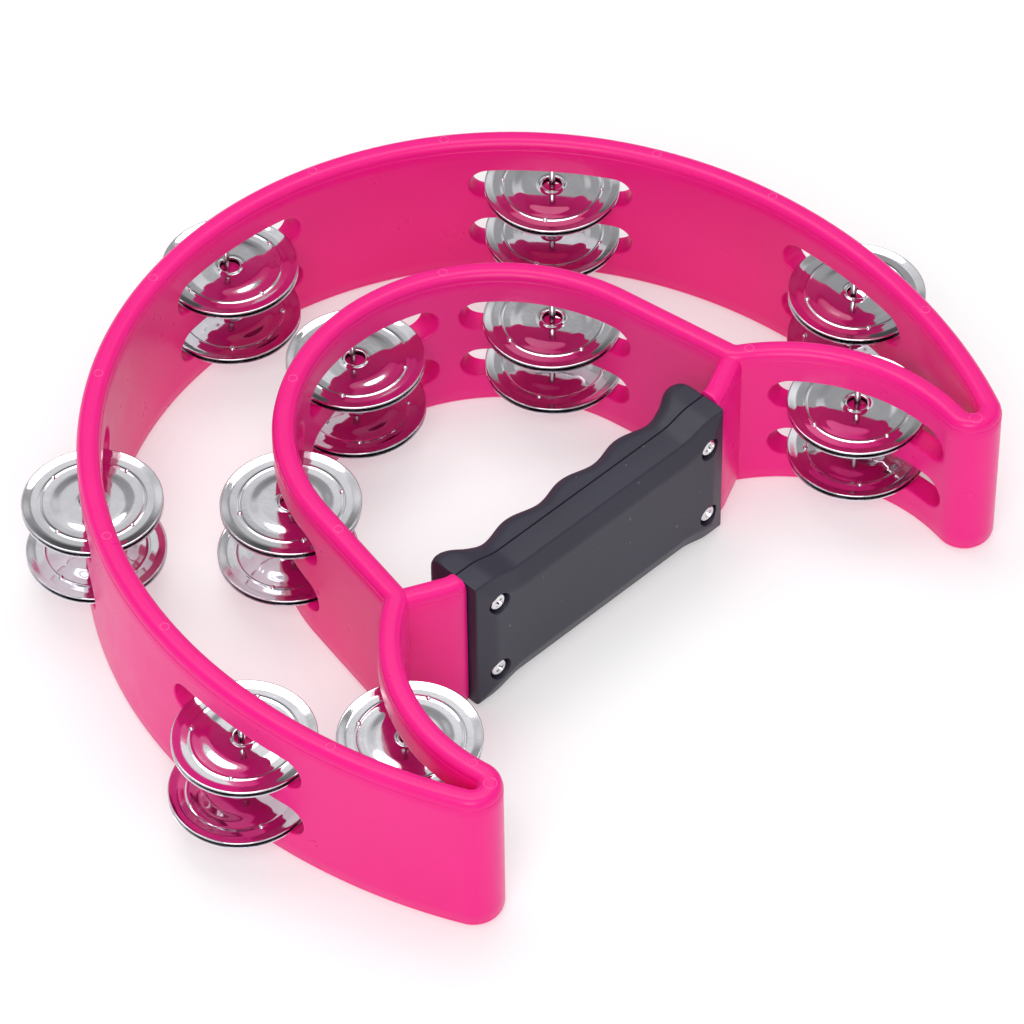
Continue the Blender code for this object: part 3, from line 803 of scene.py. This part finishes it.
def back_of_grip(x, back_y):
    """How far back the rear half reaches at x: four finger grooves between two rounded lips."""
    wave = GROOVE_DEPTH * np.cos(FULL_TURN * x / GROOVE_PITCH)
    inside = GRIP_HALF_LENGTH - np.abs(x)
    rise = np.clip((LIP_LENGTH - inside) / (LIP_LENGTH - LIP_CORNER), 0.0, 1.0)
    blend = rise * rise * (3 - 2 * rise)
    past = np.clip(1 - inside / LIP_CORNER, 0.0, 1.0)
    rounding = LIP_CORNER * (1 - np.sqrt(1 - past * past)) * 0.7
    return back_y + wave * (1 - blend) + (LIP_RISE - GROOVE_DEPTH) * blend - rounding


def build_grip_rear():
    """The rear half, lofted along X, with rounded long edges and softened ends."""
    low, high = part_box("grip_rear")
    seam = low.y
    back_y = PLAN_SHIFT + GRIP_BACK_Y
    xs = graded(low.x, high.x, 0.9 * MM, 1.0 * MM)
    turns = np.radians(np.linspace(-90, 0, 10))
    points, faces = [], []
    for x in xs:
        inside = min(x - low.x, high.x - x)
        fall = max(0.0, END_ROUND - inside)
        inset = END_ROUND - math.sqrt(max(0.0, END_ROUND**2 - fall**2))
        back = float(back_of_grip(np.array(x), back_y)) - inset
        narrow = float(grip_waist(x)) + inset * 0.6
        bottom, top = low.z + narrow, high.z - narrow
        reach, foot = back - BACK_ROUND, bottom + BACK_ROUND
        bend = [(reach + BACK_ROUND * math.cos(t), foot + BACK_ROUND * math.sin(t)) for t in turns]
        rise = [(back, foot + (top - bottom - 2 * BACK_ROUND) * k / 12) for k in range(1, 12)]
        over = [(y, bottom + top - z) for y, z in reversed(bend)]
        start = seam + SEAM_CHAMFER
        runs = [(start + (reach - start) * k / 4, bottom) for k in range(4)]
        ring = [(seam, bottom + SEAM_CHAMFER)] + runs + bend + rise + over
        ring += [(y, top) for y, _ in reversed(runs)] + [(seam, top - SEAM_CHAMFER)]
        points.extend((x, y, z) for y, z in ring)
    count = len(ring)
    for k in range(len(xs) - 1):
        here, beyond = k * count, (k + 1) * count
        for j in range(count):
            after = (j + 1) % count
            faces.append((here + j, here + after, beyond + after, beyond + j))
    faces.append(tuple(range(count)))
    faces.append(tuple((len(xs) - 1) * count + j for j in range(count)))
    rear = mesh_object("grip_rear_shell", points, faces)
    tidy_mesh(rear)
    smooth(rear, 30.0)
    return rear


def build_screw(index, spin):
    """A pan-head screw with a cross recess, where its CAD node is."""
    node = f"grip_screw_{index}"
    low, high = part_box(node)
    radius, length = SCREW_HEAD_RADIUS, high.y - low.y
    profile = [(0.0, 0.0)]
    for turn in np.radians(np.linspace(90, 5, 9)):
        across = radius * 0.62 + radius * 0.38 * math.cos(turn)
        profile.append((across, -SCREW_DOME + SCREW_DOME * math.sin(turn)))
    profile += [(radius, -0.9 * MM), (radius, -SCREW_HEAD), (SHANK_RADIUS, -SCREW_HEAD)]
    profile += [(SHANK_RADIUS, SHANK_RADIUS - length), (0.0, -length)]
    screw = turned("shown_" + node, profile, 40, closed=False)
    blades = []
    for turn in (0.0, math.pi / 2):
        blade = bmesh.new()
        bmesh.ops.create_cube(blade, size=1.0)
        for vertex in blade.verts:
            deep = vertex.co.z < 0
            vertex.co.x *= (1.5 if deep else 3.1) * MM
            vertex.co.y *= (0.45 if deep else 0.78) * MM
            vertex.co.z = (-1.25 if deep else 0.25) * MM
        mesh = bpy.data.meshes.new("blade")
        blade.to_mesh(mesh)
        blade.free()
        item = bpy.data.objects.new("blade", mesh)
        bpy.context.scene.collection.objects.link(item)
        item.matrix_world = Matrix.Rotation(turn, 4, "Z")
        blades.append(item)
    bpy.context.view_layer.update()
    for blade in blades:
        blade.data.transform(blade.matrix_world)
        blade.matrix_world = Matrix.Identity(4)
        boolean(screw, blade, "DIFFERENCE")
    place = Matrix.Translation(((low.x + high.x) / 2, low.y, (low.z + high.z) / 2))
    screw.data.transform(place @ Matrix.Rotation(math.pi / 2, 4, "X") @ Matrix.Rotation(spin, 4, "Z"))
    smooth(screw, 35.0)
    return screw


# ---------------------------------------------------------------- materials


class Nodes:
    """Short calls to build a material's node tree."""

    def __init__(self, name):
        self.material = bpy.data.materials.new(name)
        self.material.use_nodes = True
        self.tree = self.material.node_tree
        self.shader = self.tree.nodes["Principled BSDF"]

    def add(self, kind, settings=None, **inputs):
        node = self.tree.nodes.new(kind)
        for key, value in (settings or {}).items():
            setattr(node, key, value)
        for key, value in inputs.items():
            self.set(node, key.replace("_", " "), value)
        return node

    def set(self, node, key, value):
        socket = node.inputs[int(key)] if key.isdigit() else node.inputs[key]
        if isinstance(value, bpy.types.NodeSocket):
            self.tree.links.new(value, socket)
        else:
            socket.default_value = value

    def math(self, operation, a, b=0.0, clamp=False):
        node = self.tree.nodes.new("ShaderNodeMath")
        node.operation = operation
        node.use_clamp = clamp
        self.set(node, "0", a)
        self.set(node, "1", b)
        return node.outputs[0]

    def noise(self, scale, detail=2.0, roughness=0.5, vector=None):
        place = vector or self.coords()
        node = self.add("ShaderNodeTexNoise", Scale=scale, Detail=detail, Roughness=roughness, Vector=place)
        return node.outputs[0]

    def coords(self):
        if not hasattr(self, "place"):
            self.place = self.add("ShaderNodeTexCoord").outputs["Object"]
        return self.place

    def ramp(self, value, low, high, out_low=0.0, out_high=1.0):
        node = self.add("ShaderNodeMapRange", None, Value=value)
        self.set(node, "From Min", low)
        self.set(node, "From Max", high)
        self.set(node, "To Min", out_low)
        self.set(node, "To Max", out_high)
        return node.outputs[0]

    def mix(self, share, a, b):
        node = self.add("ShaderNodeMix", {"data_type": "RGBA"})
        self.set(node, "0", share)
        self.set(node, "6", a)
        self.set(node, "7", b)
        return node.outputs[2]

    def bump(self, height, strength, distance, normal=None):
        node = self.add("ShaderNodeBump", None, Height=height, Strength=strength, Distance=distance)
        if normal:
            self.set(node, "Normal", normal)
        return node.outputs[0]

    def use(self, **inputs):
        for key, value in inputs.items():
            self.set(self.shader, key.replace("_", " "), value)
        return self.material


def pink_plastic():
    n = Nodes("moulded_pink_plastic")
    broad = n.noise(18.0, 3.0)
    flow = n.noise(110.0, 4.0, 0.6)
    colour = n.mix(n.ramp(broad, 0.3, 0.7), (0.87, 0.0065, 0.225, 1), (0.91, 0.009, 0.250, 1))
    colour = n.mix(n.ramp(flow, 0.35, 0.75, 0.0, 0.2), colour, (0.91, 0.014, 0.27, 1))
    rough = n.ramp(flow, 0.3, 0.7, 0.27, 0.35)
    edges = {"feature": "DISTANCE_TO_EDGE"}
    scratches = n.add("ShaderNodeTexVoronoi", edges, Scale=70.0, Vector=n.coords())
    scuff = n.ramp(scratches.outputs[0], 0.003, 0.0, 0.0, 1.0)
    scuff = n.math("MULTIPLY", scuff, n.ramp(n.noise(45.0, 2.0), 0.68, 0.80), clamp=True)
    rough = n.math("ADD", rough, n.math("MULTIPLY", scuff, 0.05))
    peel = n.noise(900.0, 2.0)
    normal = n.bump(peel, 0.08, 0.00005)
    normal = n.bump(broad, 0.2, 0.0003, normal)
    return n.use(Base_Color=colour, Roughness=rough, Normal=normal, Specular_IOR_Level=0.31, IOR=1.49)


def scuffed_pink():
    """The same plastic, paler where it's rough."""
    n = Nodes("scuffed_pink_plastic")
    blotch = n.noise(900.0, 2.0)
    colour = n.mix(n.ramp(blotch, 0.3, 0.7), (0.90, 0.03, 0.28, 1), (0.94, 0.13, 0.39, 1))
    rough = n.ramp(blotch, 0.3, 0.7, 0.4, 0.6)
    return n.use(Base_Color=colour, Roughness=rough, Normal=n.bump(blotch, 0.1, 0.00004))


def dark_plastic():
    n = Nodes("moulded_dark_plastic")
    broad = n.noise(30.0, 3.0)
    grain = n.noise(2600.0, 2.0, 0.6)
    colour = n.mix(n.ramp(broad, 0.3, 0.7), (0.019, 0.018, 0.034, 1), (0.025, 0.024, 0.043, 1))
    colour = n.mix(n.ramp(grain, 0.4, 0.75, 0.0, 0.3), colour, (0.040, 0.039, 0.058, 1))
    dust = n.ramp(n.noise(640.0, 0.0), 0.875, 0.89, 0.0, 0.4)
    colour = n.mix(dust, colour, (0.28, 0.28, 0.30, 1))
    rough = n.ramp(grain, 0.3, 0.7, 0.40, 0.52)
    normal = n.bump(grain, 0.25, 0.00004)
    return n.use(Base_Color=colour, Roughness=rough, Normal=normal, Specular_IOR_Level=0.45, IOR=1.48)


def shaded_chrome():
    """The facing sides of a pair, dull, and darkened with painted shade for the gap between the twins."""
    # Painted shade: this material's dark chrome colour stands for the shade in the gap between a pair's
    # twins; its noise only mottles that painted shade
    n = Nodes("worn_chrome")
    stain = n.noise(260.0, 4.0, 0.6)
    colour = n.mix(n.ramp(stain, 0.35, 0.7), (0.16, 0.15, 0.165, 1), (0.32, 0.31, 0.33, 1))
    rough = n.ramp(stain, 0.3, 0.7, 0.16, 0.30)
    normal = n.bump(stain, 0.2, 0.0001)
    return n.use(Base_Color=colour, Roughness=rough, Metallic=1.0, Normal=normal)


def chrome():
    n = Nodes("pressed_chrome")
    smudge = n.noise(160.0, 4.0, 0.6)
    fine = n.noise(1400.0, 2.0)
    colour = n.mix(n.ramp(smudge, 0.35, 0.7), (0.74, 0.73, 0.765, 1), (0.80, 0.79, 0.82, 1))
    rough = n.ramp(smudge, 0.35, 0.75, 0.045, 0.11)
    rough = n.math("ADD", rough, n.ramp(fine, 0.66, 0.8, 0.0, 0.12))
    normal = n.bump(smudge, 0.2, 0.00012)
    return n.use(Base_Color=colour, Roughness=rough, Metallic=1.0, Normal=normal)


def plain_steel(name, tone, low, high):
    """Steel with fine streaks, of a tone, and of a roughness between low and high."""
    n = Nodes(name)
    stretched = n.add("ShaderNodeMapping", None, Vector=n.coords())
    stretched.inputs["Scale"].default_value = (1.0, 1.0, 0.06)
    streak = n.noise(4200.0, 2.0, 0.5, stretched.outputs[0])
    stain = n.noise(420.0, 3.0)
    pale = (tone * 1.15, tone * 1.14, tone * 1.15, 1)
    colour = n.mix(n.ramp(stain, 0.35, 0.7), (tone, tone, tone * 1.02, 1), pale)
    rough = n.ramp(streak, 0.3, 0.7, low, high)
    normal = n.bump(streak, 0.2, 0.00002)
    return n.use(Base_Color=colour, Roughness=rough, Metallic=1.0, Normal=normal)


def floor_material():
    n = Nodes("pale_floor")
    tone = n.ramp(n.noise(3.0, 3.0), 0.3, 0.7)
    colour = n.mix(tone, (0.62, 0.63, 0.63, 1), (0.65, 0.66, 0.66, 1))
    normal = n.bump(n.noise(260.0, 2.0), 0.05, 0.0002)
    n.use(Emission_Color=(1.0, 1.0, 1.0, 1.0), Emission_Strength=0.38)
    return n.use(Base_Color=colour, Roughness=0.8, Normal=normal)


# ---------------------------------------------------------------- ejector marks

MARK_SECTION = [(math.cos(turn), math.sin(turn)) for turn in np.radians(range(0, 360, 45))]
MARK_RADIUS = 1.2 * MM
MARK_REACH = 30 * MM
MARK_WIDTH = 0.11 * MM
MARK_HEIGHT = 0.04 * MM
TIP_MARK_RADIUS = 1.7 * MM
TIP_MARK_REACH = 3 * MM


def rim_drop(across):
    """How far below the rim's top its surface is, at a distance from the wall's middle line."""
    past = np.clip(np.abs(across) - (WALL_HALF - LEDGE_WIDTH - CAP_RADIUS), 0.0, CAP_RADIUS)
    return CAP_RADIUS - np.sqrt(CAP_RADIUS**2 - past**2)


def ring_mark(loop, s, radius, top):
    """One thin raised ring that lies on the rim, round the wall's middle line at s."""
    ring = turned("mark", [(radius + MARK_WIDTH * x, MARK_HEIGHT * z) for x, z in MARK_SECTION], 32)
    points = np.empty(len(ring.data.vertices) * 3)
    ring.data.vertices.foreach_get("co", points)
    points = points.reshape(-1, 3)
    centre, beside = loop.at(np.array([s, s]), np.array([0.0, MM]))
    across = points[:, :2] @ ((beside - centre) / MM)
    height = HEIGHT - RIM_SINK - rim_drop(across) + points[:, 2]
    points[:, 2] = height if top else HEIGHT - height
    points[:, :2] += centre
    ring.data.vertices.foreach_set("co", points.ravel())
    return ring


def build_marks(loop, stations):
    """Small raised rings on the rims, where pins pushed the moulding out."""
    spots = [(station.s + MARK_REACH, MARK_RADIUS) for station in stations]
    spots += [(station.s - MARK_REACH, MARK_RADIUS) for station in stations if station.outer]
    half = loop.nearest(np.array([0.0, loop.points[:, 1].max()]))
    tip = loop.nearest(loop.points[0])
    spots += [(tip + TIP_MARK_REACH, TIP_MARK_RADIUS), (2 * half - tip - TIP_MARK_REACH, TIP_MARK_RADIUS)]
    items = [ring_mark(loop, s, radius, top) for s, radius in spots for top in (True, False)]
    marks = joined("ejector_marks", items)
    tidy_mesh(marks)
    smooth(marks, 60.0)
    return marks


# ---------------------------------------------------------------- stage

FLOOR_REACH = 4
FLOOR_Z = -0.2 * MM
WORLD_STOPS = [(0.0, 0.95), (0.28, 0.70), (0.40, 0.16), (0.50, 0.22)]
WORLD_STOPS += [(0.60, 0.78), (0.76, 0.98), (0.84, 0.72), (1.0, 0.98)]
BACKDROP = (0.93, 0.93, 0.935, 1)

# Camera: degrees, millimetres, and a lens stated in parts of the picture's side
CAMERA_TURN = -43.66
CAMERA_RISE = 47.07
CAMERA_ROLL = -0.87
CAMERA_TARGET = (-5.11, -22.97, 24.65)
CAMERA_DISTANCE = 1537.5
PICTURE_SIDE = 1024
CAMERA_FOCAL = 5754.66
CAMERA_SHIFT = (8.48, -7.45)
SENSOR_WIDTH = 36.0


def build_floor():
    corners = [(x * FLOOR_REACH, y * FLOOR_REACH, 0) for x, y in ((-1, -1), (1, -1), (1, 1), (-1, 1))]
    floor = mesh_object("floor", corners, [(0, 1, 2, 3)])
    floor.location.z = FLOOR_Z
    floor.data.materials.append(floor_material())


def area_light(name, place, size, power):
    """A white rectangular light that faces the origin."""
    data = bpy.data.lights.new(name, "AREA")
    data.shape = "RECTANGLE"
    data.size, data.size_y = size
    data.energy = power
    item = bpy.data.objects.new(name, data)
    item.location = place
    item.rotation_mode = "QUATERNION"
    item.rotation_quaternion = (-item.location).to_track_quat("-Z", "Y")
    bpy.context.scene.collection.objects.link(item)


def build_world():
    """A pale studio, with darker bands that give the chrome its contrast."""
    world = bpy.data.worlds.new("studio")
    bpy.context.scene.world = world
    world.use_nodes = True
    tree = world.node_tree
    shade = tree.nodes["Background"]
    place = tree.nodes.new("ShaderNodeTexCoord")
    split = tree.nodes.new("ShaderNodeSeparateXYZ")
    tree.links.new(place.outputs["Generated"], split.inputs[0])
    ramp = tree.nodes.new("ShaderNodeValToRGB")
    tree.links.new(split.outputs["Z"], ramp.inputs[0])
    elements = ramp.color_ramp.elements
    while len(elements) < len(WORLD_STOPS):
        elements.new(0.5)
    for element, (position, value) in zip(elements, WORLD_STOPS):
        element.position = position
        element.color = (value, value, value * 1.01, 1)
    cloud = tree.nodes.new("ShaderNodeTexNoise")
    cloud.inputs["Scale"].default_value = 2.6
    cloud.inputs["Detail"].default_value = 1.0
    tree.links.new(place.outputs["Generated"], cloud.inputs["Vector"])
    patch = tree.nodes.new("ShaderNodeMapRange")
    for key, value in (("From Min", 0.42), ("From Max", 0.56), ("To Min", 0.42), ("To Max", 1.12)):
        patch.inputs[key].default_value = value
    tree.links.new(cloud.outputs[0], patch.inputs["Value"])
    varied = tree.nodes.new("ShaderNodeVectorMath")
    varied.operation = "SCALE"
    tree.links.new(ramp.outputs[0], varied.inputs[0])
    tree.links.new(patch.outputs[0], varied.inputs["Scale"])
    seen = tree.nodes.new("ShaderNodeLightPath")
    plain = tree.nodes.new("ShaderNodeMix")
    plain.data_type = "RGBA"
    tree.links.new(seen.outputs["Is Camera Ray"], plain.inputs[0])
    tree.links.new(varied.outputs[0], plain.inputs[6])
    plain.inputs[7].default_value = BACKDROP
    tree.links.new(plain.outputs[2], shade.inputs["Color"])
    shade.inputs["Strength"].default_value = 1.0


def build_camera():
    data = bpy.data.cameras.new("camera")
    camera = bpy.data.objects.new("camera", data)
    bpy.context.scene.collection.objects.link(camera)
    turn, rise, roll = (math.radians(angle) for angle in (CAMERA_TURN, CAMERA_RISE, CAMERA_ROLL))
    back = Vector((math.sin(turn) * math.cos(rise), -math.cos(turn) * math.cos(rise), math.sin(rise)))
    camera.location = Vector(CAMERA_TARGET) * MM + back * CAMERA_DISTANCE * MM
    right = (-back).cross(Vector((0, 0, 1))).normalized()
    up = right.cross(-back)
    rolled_right = right * math.cos(roll) + up * math.sin(roll)
    rolled_up = up * math.cos(roll) - right * math.sin(roll)
    turned_axes = Matrix((rolled_right, rolled_up, back)).transposed()
    camera.rotation_mode = "QUATERNION"
    camera.rotation_quaternion = turned_axes.to_quaternion()
    data.sensor_width = SENSOR_WIDTH
    data.lens = CAMERA_FOCAL / PICTURE_SIDE * SENSOR_WIDTH
    data.shift_x, data.shift_y = (shift / PICTURE_SIDE for shift in CAMERA_SHIFT)
    data.clip_start, data.clip_end = 0.05, 50.0
    bpy.context.scene.camera = camera


def main():
    names = [f"outer{k}" for k in range(1, 6)] + [f"inner{k}" for k in range(1, 6)]
    loop = Loop()
    stations = [Station(loop, name) for name in names]
    pink = pink_plastic()
    dark = dark_plastic()
    finish_piece(build_frame(loop, stations), pink, "frame_plastic", "frame")
    finish_piece(build_marks(loop, stations), scuffed_pink(), "frame_plastic")
    finish_piece(build_grip_front(), dark, "grip_plastic", "grip_front")
    finish_piece(build_grip_rear(), dark, "grip_plastic", "grip_rear")
    screw_steel = plain_steel("plated_steel", 0.68, 0.10, 0.2)
    for index, spin in enumerate((0.3, 1.0, 0.75, 0.1)):
        finish_piece(build_screw(index + 1, spin), screw_steel, "screw_steel", f"grip_screw_{index + 1}")
    build_pins(stations, plain_steel("drawn_steel", 0.6, 0.16, 0.3))
    # The second chrome paints shade on the sides of each jingle that face its twin
    build_jingles(stations, chrome(), shaded_chrome())
    build_floor()
    build_world()
    area_light("key", (-1.1, -0.9, 1.5), (1.1, 1.1), 16.0)
    area_light("top", (0.3, 0.6, 1.9), (1.4, 1.0), 13.0)
    build_camera()
    scene = bpy.context.scene
    scene.view_settings.view_transform = "Standard"
    scene.view_settings.look = "None"


main()
